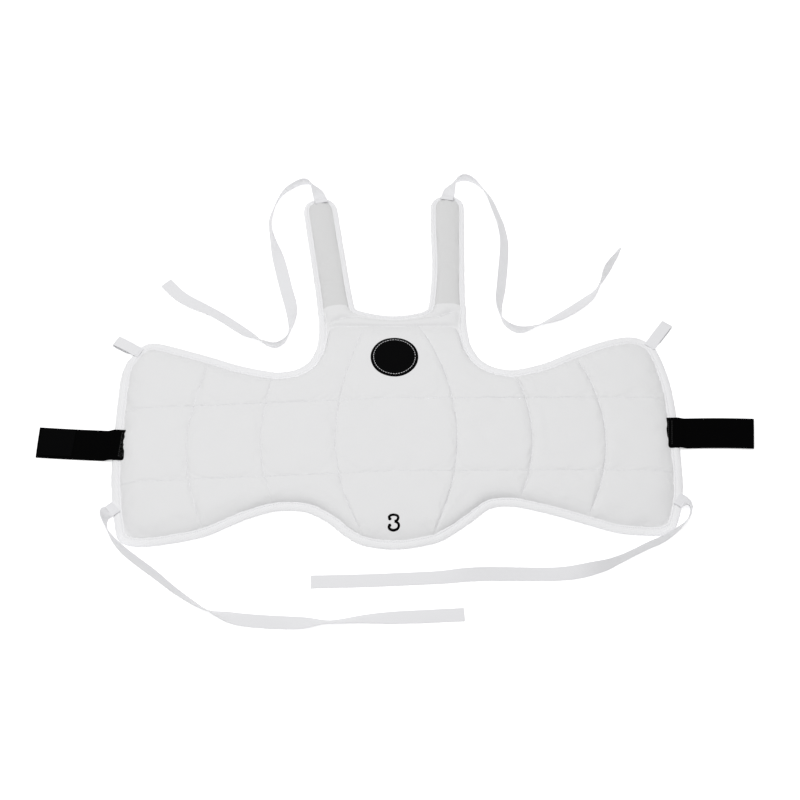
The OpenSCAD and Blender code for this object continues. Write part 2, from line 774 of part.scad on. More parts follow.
chest_front_cloth();
chest_foam();
chest_lining();
yoke_panel();
neck_binding();
hem_binding();
armhole_binding_left();
armhole_binding_right();
badge_patch();
size_number();
wing_front_cloth_left();
wing_foam_left();
wing_lining_left();
wing_binding_left();
wing_front_cloth_right();
wing_foam_right();
wing_lining_right();
wing_binding_right();
flank_front_cloth_left();
flank_foam_left();
flank_lining_left();
flank_binding_left();
flank_front_cloth_right();
flank_foam_right();
flank_lining_right();
flank_binding_right();
shoulder_cloth_left();
shoulder_wadding_left();
shoulder_lining_left();
shoulder_binding_left();
shoulder_cloth_right();
shoulder_wadding_right();
shoulder_lining_right();
shoulder_binding_right();
shoulder_tip_cloth_left();
shoulder_tip_wadding_left();
shoulder_tip_lining_left();
shoulder_tip_binding_left();
shoulder_tip_cloth_right();
shoulder_tip_wadding_right();
shoulder_tip_lining_right();
shoulder_tip_binding_right();
side_strap_left();
side_strap_right();
side_strap_sewn_end_left();
side_strap_sewn_end_right();
hook_patch();
loop_patch();
tie_loop_left();
tie_loop_right();
tie_loop_sewn_end_left();
tie_loop_sewn_end_right();
upper_tie_left();
upper_tie_right();
lower_tie_left();
lower_tie_right();
upper_tie_sewn_end_left();
upper_tie_sewn_end_right();
lower_tie_sewn_end_left();
lower_tie_sewn_end_right();
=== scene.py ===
import math

import bmesh
import bpy
import numpy as np
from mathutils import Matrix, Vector
from mathutils.bvhtree import BVHTree


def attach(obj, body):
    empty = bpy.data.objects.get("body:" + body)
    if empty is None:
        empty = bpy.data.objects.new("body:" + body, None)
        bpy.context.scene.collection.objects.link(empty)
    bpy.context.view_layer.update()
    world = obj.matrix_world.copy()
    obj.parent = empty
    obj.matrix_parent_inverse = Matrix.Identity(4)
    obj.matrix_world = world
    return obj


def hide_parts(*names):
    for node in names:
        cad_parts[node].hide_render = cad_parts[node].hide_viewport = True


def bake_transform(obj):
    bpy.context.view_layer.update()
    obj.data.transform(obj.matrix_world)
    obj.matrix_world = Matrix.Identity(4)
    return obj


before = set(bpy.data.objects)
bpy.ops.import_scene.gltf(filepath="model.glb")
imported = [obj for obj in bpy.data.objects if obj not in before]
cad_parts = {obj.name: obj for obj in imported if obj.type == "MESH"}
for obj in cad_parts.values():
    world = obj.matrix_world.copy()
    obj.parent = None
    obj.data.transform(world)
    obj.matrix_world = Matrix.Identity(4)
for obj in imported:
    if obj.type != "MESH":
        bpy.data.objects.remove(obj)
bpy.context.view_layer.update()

SIDES = ("left", "right")
MM = 0.001

# ---- Sizes in millimetres, as the frame was drawn with them ----
PAD_TOP = 13
EDGE_Z = 3.4
BAND_W = 9.7
STRAP_BAND_W = 6.5
TAPE_T = 1.2
TIE_W = 15
SIDE_W = 38
STRAP_LEN = 163
STRAP_FOLD = 72
STRAP_HALF = 14
LOOP_W = 13
BADGE_R = 27
BADGE_Y = 51.5
DIGIT_Y = -158
DIGIT_STROKE = 2.6

MID_X = (-299.5, -227.5, -146.5, -65, 69, 151.5, 232, 304)
MID_Y = -50
BOTTOM_EDGE = (
    (0, -285, -170), (0.12, -276, -172.6), (0.3, -262, -173), (0.6, -236, -169), (1, -204, -161.5),
    (1.4, -174, -147), (1.6, -160, -140.5), (2, -130, -131), (2.2, -112, -130), (2.4, -97, -131),
    (2.6, -81, -136.5), (2.8, -60, -150), (2.9, -48, -161), (3, -33, -171), (3.5, 4, -176), (4, 42, -169),
    (4.1, 53, -163), (4.3, 75, -147), (4.5, 95, -130.5), (4.6, 106, -126), (4.8, 122, -124.5),
    (5, 136, -126), (5.5, 172, -135.3), (6, 208, -147), (6.4, 240, -157), (6.7, 264, -159.5),
    (6.88, 281, -160), (7, 291, -157),
)
TOP_EDGE = (
    (0, -288, 56), (0.1, -282, 65.5), (0.2, -274, 67.5), (0.5, -248, 60.5), (1, -209, 48), (1.4, -179, 37.5),
    (2, -137, 28), (2.15, -124, 28.5), (2.35, -107, 32.5), (2.55, -91, 44), (2.75, -81, 63),
    (2.84, -77, 80), (2.91, -74, 93), (2.95, -66, 99.5), (3, -33, 100.5), (4, 27, 100.5),
    (4.05, 64, 99.5), (4.09, 72, 93), (4.16, 75.5, 80), (4.25, 80.5, 65), (4.45, 91, 48), (4.65, 106, 37),
    (4.85, 122, 32), (5, 136, 31), (5.6, 173, 40.5), (6, 205, 55.5), (6.5, 242, 70.5), (6.8, 266, 76),
    (6.9, 277, 74.5), (7, 288, 68),
)
BOW_POWER = ((2.2, 2, 2, 2, 2, 2, 2, 4), (10, 1.4, 1.5, 1.75, 2, 2, 2, 3))
NECK = (
    (-46.9, 128), (-46.3, 126), (-44.3, 124), (-41, 122.6), (-33, 120.2), (-19, 116.8), (0, 115),
    (17, 116.8), (29, 119.6), (35.5, 122.4), (38.6, 125.2), (39.6, 128.3),
)
HINGE = {"left": (-68, 126, 8.6), "right": (61, 129, -1)}
SIDE = {"left": (-311.5, -58.5, 176.7), "right": (316, -43, 0)}
LOOP = {"left": (-297, 66.5, 150, 25), "right": (296, 78, 54, 31)}
# Ties as (x, y, lift, roll), the same routes as the frame's
ROUTES = {
    "upper_tie_left": (
        (-91.2, 289, 3.2, 0), (-93, 295, 1.6, 15), (-97, 303, 0, 45), (-103, 309.5, 0, 70),
        (-112, 311, 0, 80), (-123, 305, 0, 80), (-135, 294, 0, 76), (-144, 275, 0, 72),
        (-148.5, 255, 0, 68), (-148, 236, 0, 78), (-143, 213, 0, 60), (-136, 191, 0, 20),
        (-127, 155, 0, 0), (-120, 127, 0, 20), (-118, 103, 0, 55), (-123, 81, 0, 78), (-135, 71, 0, 80),
        (-149, 75, 0, 74), (-169, 89, 0, 30), (-204, 115, 0, 24), (-246, 141, 0, 0), (-268, 163, 0, 0),
    ),
    "upper_tie_right": (
        (65, 293.6, 3.2, 0), (66.5, 300, 1.6, -20), (71, 309, 0, -60), (78, 315.5, 0, -78),
        (87, 317, 0, -84), (99, 310, 0, -75), (113, 290, 0, -58), (122, 263, 0, -50), (127.5, 242, 0, -48),
        (130, 213, 0, -46), (125, 160, 0, -45), (121, 130, 0, -58), (123, 109, 0, -78), (132, 97, 0, -86),
        (145, 92, 0, -86), (162, 97, 0, -66), (192, 113, 0, -28), (222, 135, 0, -30), (236, 151, 0, -70),
        (249, 178, 0, -112), (266, 205, 0, -84),
    ),
    "lower_tie_left": (
        (-304.8, -141.3, 3.2, 0), (-307.5, -143.5, 2, -25), (-309.3, -149.5, 0, -62),
        (-307.5, -158, 0, -80), (-303, -168, 0, -90), (-295.5, -178.5, 0, -98), (-285, -189.5, 0, -105),
        (-269, -202.5, 0, -107), (-249.5, -217.5, 0, -106), (-227, -236, 0, -98), (-203, -252.5, 0, -84),
        (-188, -259.5, 0, -62), (-165, -265, 0, -14), (-134, -268, 0, 0), (-97, -270, 0, -10),
        (-72, -271, 0, -52), (-54, -270, 0, -50), (-32, -267, 0, -34), (0, -264, 0, -10), (35, -262, 0, 0),
        (73, -260, 0, 0),
    ),
    "lower_tie_right": (
        (311.6, -130.4, 3.2, 0), (315, -132.6, 2, -30), (317.4, -139, 0, -76), (314.5, -150, 0, -98),
        (306.5, -160, 0, -96), (296, -168.5, 0, -87), (284, -176.5, 0, -83), (267, -184.5, 0, -82),
        (251, -193, 0, -82), (235, -201, 0, -76), (216, -208, 0, -54), (174, -214, 0, -8),
        (90, -215, 0, -20), (43, -218, 0, 0), (-20, -221, 0, 0), (-87, -223, 0, 0),
    ),
}


# ---- Camera ----
def add_camera():
    data = bpy.data.cameras.new("camera")
    data.lens = 72.1
    camera = bpy.data.objects.new("camera", data)
    bpy.context.collection.objects.link(camera)
    camera.location = (0.0063, -0.949, 1.5214)
    look = Vector((0.0063, 0.0017, 0)) - camera.location
    camera.rotation_euler = look.to_track_quat("-Z", "Y").to_euler()
    bpy.context.scene.camera = camera


add_camera()


# ---- Small maths ----
def lerp(a, b, t):
    return a + (b - a) * t


def unit(v):
    return v / np.linalg.norm(v)


def turned(x, y, degrees):
    c, s = math.cos(math.radians(degrees)), math.sin(math.radians(degrees))
    return x * c - y * s, x * s + y * c


def smooth_line(points, step):
    """Points of a smooth curve through the given ones, about step apart, with every column carried along."""
    p = np.array(points, float)
    p = np.vstack([2 * p[0] - p[1], p, 2 * p[-1] - p[-2]])
    out = []
    for i in range(1, len(p) - 2):
        count = max(1, round(np.linalg.norm(p[i + 1][:2] - p[i][:2]) / step))
        for k in range(count):
            t = k / count
            out.append(0.5 * (
                2 * p[i] + (p[i + 1] - p[i - 1]) * t
                + (2 * p[i - 1] - 5 * p[i] + 4 * p[i + 1] - p[i + 2]) * t**2
                + (3 * p[i] - p[i - 1] - 3 * p[i + 1] + p[i + 2]) * t**3
            ))
    out.append(p[-2])
    return np.array(out)


def even_line(points, step):
    """The same line with its points an even step apart."""
    p = np.array(points, float)
    run = run_along(p)
    at = np.linspace(0, run[-1], max(2, round(run[-1] / step) + 1))
    return np.column_stack([np.interp(at, run, p[:, k]) for k in range(p.shape[1])])


def run_along(p):
    return np.concatenate([[0], np.cumsum(np.linalg.norm(np.diff(p[:, :2], axis=0), axis=1))])


def ways(p):
    """Unit direction at each point, in the ground plane."""
    d = np.gradient(p[:, :2], axis=0)
    return d / np.linalg.norm(d, axis=1)[:, None]


def ripple(run, seed, waves=((31, 1.0), (13, 0.6), (7.3, 0.35))):
    """Gentle irregular ripple along a run, between about -1 and 1."""
    rng = np.random.default_rng(seed)
    total = sum(w for _, w in waves)
    return sum(w * np.sin(2 * math.pi * (run / length + rng.random())) for length, w in waves) / total


# ---- Mesh building ----
def grid_faces(m, n):
    """Faces of a grid of m rows and n columns."""
    return [(i * n + j, i * n + j + 1, (i + 1) * n + j + 1, (i + 1) * n + j)
            for i in range(m - 1) for j in range(n - 1)]


def ring_faces(m, n):
    """Faces of m closed rings of n points."""
    return [(i * n + j, (i + 1) * n + j, (i + 1) * n + (j + 1) % n, i * n + (j + 1) % n)
            for i in range(m - 1) for j in range(n)]


class Build:
    """Collects points in millimetres, faces, a texture position per point and a material per face."""

    def __init__(self):
        self.points, self.faces, self.uv, self.slots = [], [], [], []

    def add(self, points, uv, faces, slot):
        start = len(self.points)
        self.points += [tuple(p) for p in points]
        self.uv += [tuple(p) for p in uv]
        self.faces += [tuple(start + i for i in f) for f in faces]
        self.slots += [slot] * len(faces)

    def slab(self, top, bottom, uv, slot=0, under=0):
        """Closed solid between two grids of the same shape, with walls around their rims."""
        m, n = top.shape[:2]
        count = m * n
        faces = grid_faces(m, n)
        rim = ([(0, j) for j in range(n - 1)] + [(i, n - 1) for i in range(m - 1)]
               + [(m - 1, j) for j in range(n - 1, 0, -1)] + [(i, 0) for i in range(m - 1, 0, -1)])
        rim = [i * n + j for i, j in rim]
        walls = [(a, count + a, count + b, b) for a, b in zip(rim, rim[1:] + rim[:1])]
        self.add(np.vstack([top.reshape(-1, 3), bottom.reshape(-1, 3)]), np.vstack([uv.reshape(-1, 2)] * 2),
                 faces + walls, slot)
        start = len(self.points) - count
        self.faces += [tuple(start + i for i in reversed(f)) for f in faces]
        self.slots += [under] * len(faces)

    def sweep(self, rings, uv, slot=0):
        """Closed tube through rings of points, with flat ends."""
        m, n = rings.shape[:2]
        faces = ring_faces(m, n) + [tuple(range(n)), tuple(range((m - 1) * n, m * n))[::-1]]
        self.add(rings.reshape(-1, 3), uv.reshape(-1, 2), faces, slot)

    def stitch(self, a, b, up, radius, slot):
        """One thread stitch from a to b, sunk at both ends."""
        a, b, up = np.array(a, float), np.array(b, float), np.array(up, float)
        along = unit(b - a)
        side = unit(np.cross(along, up))
        up = np.cross(side, along)
        rings = []
        for t, r, h in ((0, 0.5, -0.5), (0.25, 1, 0.3), (0.75, 1, 0.3), (1, 0.5, -0.5)):
            centre = lerp(a, b, t) + up * h * radius
            rings.append([centre + radius * r * (side * math.cos(q) + up * math.sin(q))
                          for q in np.linspace(0, 2 * math.pi, 6)[:-1]])
        rings = np.array(rings)
        self.sweep(rings, rings[:, :, :2], slot)

    def object(self, name, materials, sharp=50):
        mesh = bpy.data.meshes.new(name)
        mesh.from_pydata([tuple(MM * c for c in p) for p in self.points], [], self.faces)
        for material in materials:
            mesh.materials.append(material)
        mesh.polygons.foreach_set("material_index", self.slots)
        layer = mesh.uv_layers.new(name="UVMap")
        corner = np.empty(len(mesh.loops), dtype=np.int32)
        mesh.loops.foreach_get("vertex_index", corner)
        layer.data.foreach_set("uv", (MM * np.array(self.uv, np.float32))[corner].ravel())
        work = bmesh.new()
        work.from_mesh(mesh)
        bmesh.ops.recalc_face_normals(work, faces=work.faces)
        work.to_mesh(mesh)
        work.free()
        mesh.polygons.foreach_set("use_smooth", [True] * len(mesh.polygons))
        mesh.set_sharp_from_angle(angle=math.radians(sharp))
        obj = bpy.data.objects.new(name, mesh)
        bpy.context.collection.objects.link(obj)
        return obj


def stitch_row(build, line, pitch, length, radius, slot, up=(0, 0, 1)):
    """Stitches along a line of 3-D points."""
    line = np.array(line, float)
    run = np.concatenate([[0], np.cumsum(np.linalg.norm(np.diff(line, axis=0), axis=1))])

    def at(d):
        return [np.interp(d, run, line[:, k]) for k in range(3)]

    for start in np.arange(pitch / 2, run[-1] - length, pitch):
        build.stitch(at(start), at(start + length), up, radius, slot)


# ---- Materials ----
def material(name, colour, roughness, sheen, weave, vary=0.03, bump=0.25, cross=0.0, specular=0.25):
    """Cloth with a woven bump. weave is (period along, period across) in mm, cross the diagonal period."""
    mat = bpy.data.materials.new(name)
    mat.use_nodes = True
    nodes, links = mat.node_tree.nodes, mat.node_tree.links
    shader = nodes["Principled BSDF"]
    shader.inputs["Roughness"].default_value = roughness
    shader.inputs["Sheen Weight"].default_value = sheen
    shader.inputs["Sheen Roughness"].default_value = 0.5
    shader.inputs["Specular IOR Level"].default_value = specular

    place = nodes.new("ShaderNodeTexCoord")
    scale = nodes.new("ShaderNodeMapping")
    scale.inputs["Scale"].default_value = (1 / MM, 1 / MM, 1)
    links.new(place.outputs["UV"], scale.inputs["Vector"])

    height = None
    for direction, period in (("X", weave[0]), ("Y", weave[1]), ("DIAGONAL", cross)):
        if not period:
            continue
        wave = nodes.new("ShaderNodeTexWave")
        wave.wave_type = "BANDS"
        wave.bands_direction = direction
        wave.inputs["Scale"].default_value = math.pi / 10 / period
        wave.inputs["Distortion"].default_value = 0.6
        wave.inputs["Detail"].default_value = 1
        wave.inputs["Detail Scale"].default_value = 0.5
        links.new(scale.outputs["Vector"], wave.inputs["Vector"])
        if height is None:
            height = wave.outputs["Fac"]
        else:
            both = nodes.new("ShaderNodeMath")
            both.operation = "ADD"
            links.new(height, both.inputs[0])
            links.new(wave.outputs["Fac"], both.inputs[1])
            height = both.outputs[0]
    raised = nodes.new("ShaderNodeBump")
    raised.inputs["Strength"].default_value = bump
    raised.inputs["Distance"].default_value = 0.15 * MM
    links.new(height, raised.inputs["Height"])
    links.new(raised.outputs["Normal"], shader.inputs["Normal"])

    # Painted shade darkens the colour in the hollows of the weave, and the cloth is a little uneven over its
    # width
    uneven = nodes.new("ShaderNodeTexNoise")
    uneven.inputs["Scale"].default_value = 0.035
    uneven.inputs["Detail"].default_value = 6
    links.new(scale.outputs["Vector"], uneven.inputs["Vector"])
    mixed = nodes.new("ShaderNodeMix")
    mixed.data_type = "RGBA"
    mixed.inputs["A"].default_value = (*[c * (1 - vary) for c in colour], 1)
    mixed.inputs["B"].default_value = (*[min(1, c * (1 + vary)) for c in colour], 1)
    links.new(uneven.outputs["Fac"], mixed.inputs["Factor"])
    gap_shade = nodes.new("ShaderNodeMix")
    gap_shade.data_type = "RGBA"
    gap_shade.blend_type = "MULTIPLY"
    gap_shade.inputs["B"].default_value = (0.93, 0.93, 0.935, 1)
    gap_shade_mask = nodes.new("ShaderNodeMapRange")
    gap_shade_mask.inputs["From Max"].default_value = 0.8
    gap_shade_mask.inputs["To Min"].default_value = 1
    gap_shade_mask.inputs["To Max"].default_value = 0
    links.new(height, gap_shade_mask.inputs["Value"])
    links.new(gap_shade_mask.outputs["Result"], gap_shade.inputs["Factor"])
    links.new(mixed.outputs["Result"], gap_shade.inputs["A"])
    links.new(gap_shade.outputs["Result"], shader.inputs["Base Color"])
    return mat


CLOTH = material("white_cloth", (0.80, 0.80, 0.805), 0.85, 0.15, (0.9, 0.9), vary=0.012)
# Painted shade: the straps are the same white cloth as the body, coloured darker for the shade that falls on
# them
SHADED_STRAP_CLOTH = material("strap_cloth", (0.70, 0.70, 0.70), 0.85, 0.15, (0.9, 0.9), vary=0.012)
LINING = material("lining_cloth", (0.78, 0.78, 0.78), 0.9, 0.1, (0.7, 0.7), vary=0.015)
TAPE = material("binding_tape", (0.87, 0.87, 0.88), 0.75, 0.15, (2.0, 0), cross=1.3, bump=0.9, vary=0.02)
TIE = material("tie_tape", (0.81, 0.81, 0.825), 0.75, 0.15, (0, 1.4), cross=1.2, bump=0.4, vary=0.012)
ELASTIC = material("black_elastic", (0.0014, 0.0014, 0.0015), 0.8, 0.0, (1.6, 1.1), bump=0.6, specular=0.012)
PILE = material(
    "hook_and_loop_pile", (0.0025, 0.0025, 0.0027), 0.95, 0.0, (0.8, 0.8), bump=0.9, specular=0.02)
PATCH = material(
    "badge_cloth", (0.0016, 0.0016, 0.0018), 0.7, 0.0, (0, 0.8), cross=0.9, bump=0.5, specular=0.03)
PRINT = material("size_print", (0.0014, 0.0014, 0.0015), 0.7, 0.0, (0.9, 0.9), bump=0.2, specular=0.015)
THREAD = material("white_thread", (0.83, 0.83, 0.85), 0.6, 0.2, (0.5, 0), bump=0.4)
DARK_THREAD = material("grey_thread", (0.05, 0.05, 0.05), 0.7, 0.0, (0.5, 0), bump=0.4)


# ---- Ties ----
def tie_line(route):
    """Middle of the tape along a route, with its roll: x, y, z, roll."""
    p = smooth_line(route, 4)
    roll = np.radians(p[:, 3])
    z = np.maximum(p[:, 2], 0) + TAPE_T / 2 * np.abs(np.cos(roll)) + TIE_W / 2 * np.abs(np.sin(roll))
    return np.column_stack([p[:, :2], z, roll])


TIE_SECTION = ((7.5, 0), (7.3, 0.5), (4, 0.6), (0, 0.62), (-4, 0.6), (-7.3, 0.5),
               (-7.5, 0), (-7.3, -0.5), (-4, -0.6), (0, -0.6), (4, -0.6), (7.3, -0.5))
# The last part of a tie is folded over as its hem, so it is thicker there
HEM_LEN = 9
HEM_FOLD = 1.7
# Lowest a visual point may lie over the ground
GROUND = 0.02


def tie(name):
    line = tie_line(ROUTES[name])
    run = run_along(line)
    left = np.column_stack([-ways(line)[:, 1], ways(line)[:, 0], np.zeros(len(line))])
    rings, uv = [], []
    for p, side, d in zip(line, left, run):
        up = np.array([0, 0, 1.0])
        wide = side * math.cos(p[3]) + up * math.sin(p[3])
        thick = up * math.cos(p[3]) - side * math.sin(p[3])
        fold = HEM_FOLD if d > run[-1] - HEM_LEN else 1
        curl = 0.12 * math.sin(d / 9)
        ring = []
        for a, b in TIE_SECTION:
            ring.append(p[:3] + wide * a + thick * (b * fold + curl * (1 - (2 * a / TIE_W) ** 2)))
        rings.append(ring)
        uv.append([(d, a) for a, b in TIE_SECTION])
    rings = np.array(rings)
    rings[:, :, 2] = np.maximum(rings[:, :, 2], GROUND)
    build = Build()
    build.sweep(rings, np.array(uv))
    obj = build.object(name, [TIE], sharp=60)
    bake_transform(obj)
    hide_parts(name)


for side in SIDES:
    tie(f"upper_tie_{side}")
    tie(f"lower_tie_{side}")


# ---- The quilted body's shape ----
def curve(rows, s):
    """Smooth curve through rows of (s, x, y), at s."""
    i = next((k for k in range(len(rows) - 2) if s <= rows[k + 1][0]), len(rows) - 2)
    h = rows[i + 1][0] - rows[i][0]
    t = (s - rows[i][0]) / h

    def slope(j, k):
        a, b = rows[max(j - 1, 0)], rows[min(j + 1, len(rows) - 1)]
        return (b[k] - a[k]) / (b[0] - a[0])

    return [rows[i][k] * (2 * t**3 - 3 * t**2 + 1) + slope(i, k) * h * (t**3 - 2 * t**2 + t)
            + rows[i + 1][k] * (3 * t**2 - 2 * t**3) + slope(i + 1, k) * h * (t**3 - t**2) for k in (1, 2)]


def low_line(x):
    return -95.5 + x * (0.047 if x < 0 else 0.004)


def high_line(x):
    return -2.5 + x * (0.046 if x < 0 else 0.004)


def body_point(s, v):
    """Point at s across and v up: v is 0 at the bottom, 1 and 2 on the quilting lines, 3 at the top."""
    b, t = curve(BOTTOM_EDGE, s), curve(TOP_EDGE, s)
    i = min(int(s), 6)
    x = lerp(MID_X[i], MID_X[i + 1], s - i)
    lines = (b[1], low_line(x), high_line(x), t[1])
    row = min(int(v), 2)
    y = lerp(lines[row], lines[row + 1], v - row)
    half = 0 if y < MID_Y else 1
    far = t if half else b
    power = lerp(BOW_POWER[half][i], BOW_POWER[half][i + 1], s - i)
    u = min(1, abs((y - MID_Y) / (far[1] - MID_Y)))
    return lerp(x, far[0], u**power), y


def pinch(d, depth, reach):
    return 1 - depth * math.exp(-d / reach)


# How deep each seam pinches the padding, as a share of its height; the first and last are the ends
SEAM_DEPTH = (1, 0.2, 0.15, 0.17, 0.26, 0.36, 0.34, 1)
SEAM_REACH = 2
# How far the rounding of the padding reaches in from its ends, and from its top and bottom
END_REACH = 12
RIM_REACH = 11
# Rough sizes of one panel between seams
PANEL_W = 78
MID_W = 125
ROW_H = 80


def body_height(s, v):
    """Height of the quilted cloth before its creases."""
    i = min(int(s), 6)
    u = s - i
    width = MID_W if i == 3 else PANEL_W
    before, after = u * width, (1 - u) * width
    full = pinch(before, SEAM_DEPTH[i], END_REACH if i == 0 else SEAM_REACH)
    full *= pinch(after, SEAM_DEPTH[i + 1], END_REACH if i == 6 else SEAM_REACH)
    full *= pinch(min(v, 3 - v) * ROW_H, 1, RIM_REACH)
    line = min(abs(v - 1), abs(v - 2)) * ROW_H
    full *= pinch(line, 0.08, 1.7) * pinch(line, 0.04, 9)
    full *= pinch(before, 0 if i == 0 else 0.05, 10) * pinch(after, 0 if i == 6 else 0.05, 10)
    return EDGE_Z - 0.6 + (PAD_TOP + 0.2 - EDGE_Z) * full


# Waves of the padding's swelling as (length, heading in degrees, phase)
SWELL_WAVES = ((61, 20, 0.5), (43, 75, 2.1), (35, 140, 4.0), (27, 105, 1.3), (23, 40, 5.1))


def unevenness(x, y):
    """Slow uneven swelling of hand-laid padding under the cloth."""
    swell = 0
    for length, heading, phase in SWELL_WAVES:
        a = math.radians(heading)
        swell += math.sin(2 * math.pi * (x * math.cos(a) + y * math.sin(a)) / length + phase)
    return 0.11 * swell


def dent(x, y, a, b, depth, width):
    """Soft crease from a to b, fading at its ends."""
    ax, ay, bx, by = *a, *b
    length2 = (bx - ax) ** 2 + (by - ay) ** 2
    t = ((x - ax) * (bx - ax) + (y - ay) * (by - ay)) / length2
    near = min(max(t, 0), 1)
    d = math.hypot(x - lerp(ax, bx, near), y - lerp(ay, by, near))
    return -depth * math.exp(-(d / width) ** 2) * math.sin(math.pi * lerp(0.15, 0.85, near))


# Creases as (from, to, depth, width)
BODY_CREASES = (
    ((75, -22), (92, -36), 1.1, 4), ((92, -36), (106, -62), 1.1, 4), ((166, -16), (171, -66), 0.8, 5),
    ((152, -70), (178, -82), 1.0, 4.5), ((-172, -26), (-197, -72), 0.7, 6),
    ((-255, -10), (-262, -60), 0.5, 7), ((262, 20), (272, 50), 0.6, 7), ((-120, -8), (-108, -60), 0.5, 6),
    ((205, 30), (214, 5), 0.6, 5), ((-30, -20), (-18, -70), 0.35, 9), ((112, 10), (128, -18), 0.6, 5),
)
# Steps of the quilt's grid across a panel, across the middle one, and up a row
PER_PANEL = 34
PER_MID = 56
PER_ROW = 36


def crowded(count):
    """Steps from 0 up to 1, closer together towards both ends."""
    return [k / count - 0.72 * math.sin(2 * math.pi * k / count) / (2 * math.pi) for k in range(count)]


across = [i + u for i in range(7) for u in crowded(PER_MID if i == 3 else PER_PANEL)] + [7.0]
upward = [i + u for i in range(3) for u in crowded(PER_ROW)] + [3.0]


def quilt_grid():
    grid = np.empty((len(upward), len(across), 3))
    for i, v in enumerate(upward):
        for j, s in enumerate(across):
            x, y = body_point(s, v)
            sag = sum(dent(x, y, *crease) for crease in BODY_CREASES) + unevenness(x, y)
            deep = min(1, min(v, 3 - v) * ROW_H / END_REACH)
            grid[i, j] = (x, y, body_height(s, v) + sag * deep)
    return grid


PUFF_FRAMES = 20
PUFF_CAP = 0.35


def puffed(grid, pinned, cap):
    """Cloth simulation of a sheet held at pinned points and blown up gently; no point moves more than cap."""
    m, n = grid.shape[:2]
    mesh = bpy.data.meshes.new("puff")
    mesh.from_pydata((grid.reshape(-1, 3) * MM).tolist(), [], grid_faces(m, n))
    obj = bpy.data.objects.new("puff", mesh)
    bpy.context.collection.objects.link(obj)
    group = obj.vertex_groups.new(name="held")
    group.add(np.flatnonzero(pinned.ravel()).tolist(), 1.0, "REPLACE")
    cloth = obj.modifiers.new("cloth", "CLOTH")
    cloth.settings.vertex_group_mass = "held"
    cloth.settings.quality = 6
    cloth.settings.use_pressure = True
    cloth.settings.uniform_pressure_force = 4
    cloth.settings.shrink_min = -0.02
    cloth.settings.tension_stiffness = 25
    cloth.settings.compression_stiffness = 25
    cloth.settings.bending_stiffness = 0.4
    cloth.settings.effector_weights.gravity = 0
    cloth.collision_settings.use_collision = False
    scene = bpy.context.scene
    cloth.point_cache.frame_start = 1
    cloth.point_cache.frame_end = PUFF_FRAMES
    for k in range(1, PUFF_FRAMES + 1):
        scene.frame_set(k)
    shown = obj.evaluated_get(bpy.context.evaluated_depsgraph_get())
    out = np.empty(m * n * 3)
    shown.data.vertices.foreach_get("co", out)
    scene.frame_set(1)
    bpy.data.objects.remove(obj)
    bpy.data.meshes.remove(mesh)
    move = out.reshape(m, n, 3) / MM - grid
    far = np.linalg.norm(move, axis=2, keepdims=True)
    move *= np.minimum(1, cap / np.maximum(far, 1e-9))
    return grid + move


quilt = quilt_grid()
held = np.zeros(quilt.shape[:2], bool)
held[[0, PER_ROW, 2 * PER_ROW, 3 * PER_ROW], :] = True
for s in range(8):
    held[:, across.index(float(s))] = True
quilt = puffed(quilt, held, PUFF_CAP)
quilt_tree = BVHTree.FromPolygons([Vector(p) for p in quilt.reshape(-1, 3)], grid_faces(*quilt.shape[:2]))


def on_pad(x, y, lift=0.0):
    """Point on the quilted surface above (x, y)."""
    hit = quilt_tree.ray_cast(Vector((x, y, 60)), Vector((0, 0, -1)))[0]
    return (x, y, (hit.z if hit else EDGE_Z) + lift)


# ---- Pads: each is closed, with the quilted cloth above and its lining below ----
# Height where the front cloth's closed pad ends and the lining starts
PAD_BASE = 1.1
LINING_TOP = 1.0


def bend(obj):
    """Bakes the object's placement into its mesh."""
    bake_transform(obj)


# Name, first and last s, side, and whether it hinges at its side's outer seam
STRIPS = (
    ("flank_pad_left", 0, 1.5, "left", True), ("wing_pad_left", 1.5, 3, "left", False),
    ("chest_pad", 3, 4, None, False), ("wing_pad_right", 4, 5.5, "right", False),
    ("flank_pad_right", 5.5, 7, "right", True),
)
# Sewn seams of the strip that starts at each s
SEWN_S = {0: (1,), 1.5: (2,), 3: (3, 4), 4: (5,), 5.5: (6,)}


def place(obj, side, outer):
    if side is None:
        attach(obj, "chest")
    else:
        bend(obj)


def column(s):
    return min(range(len(across)), key=lambda j: abs(across[j] - s))


def pad_strip(name, first, last, side, outer):
    part = quilt[:, column(first):column(last) + 1]
    base = part.copy()
    base[:, :, 2] = PAD_BASE
    build = Build()
    build.slab(part, base, part[:, :, :2], 0, 1)
    for s in SEWN_S[first]:
        seam = quilt[2:-2, column(s)] + [0, 0, 0.05]
        stitch_row(build, seam, 3.4, 2.5, 0.2, 2)
    for row in (PER_ROW, 2 * PER_ROW):
        line = quilt[row, column(first):column(last) + 1] + [0, 0, 0.05]
        stitch_row(build, line, 3.4, 2.5, 0.2, 2)
    obj = build.object(name, [CLOTH, LINING, THREAD])
    place(obj, side, outer)
    return obj


def lining_strip(name, first, last, side, outer):
    part = quilt[::3, column(first):column(last) + 1:2].copy()
    above = part[:, :, 2].copy()
    part[:, :, 2] = LINING_TOP
    under = part.copy()
    under[:, :, 2] = 0.55 * np.clip((PAD_TOP - above) / PAD_TOP, 0, 1)
    build = Build()
    build.slab(part, under, part[:, :, :2])
    obj = build.object(name, [LINING])
    place(obj, side, outer)
    return obj


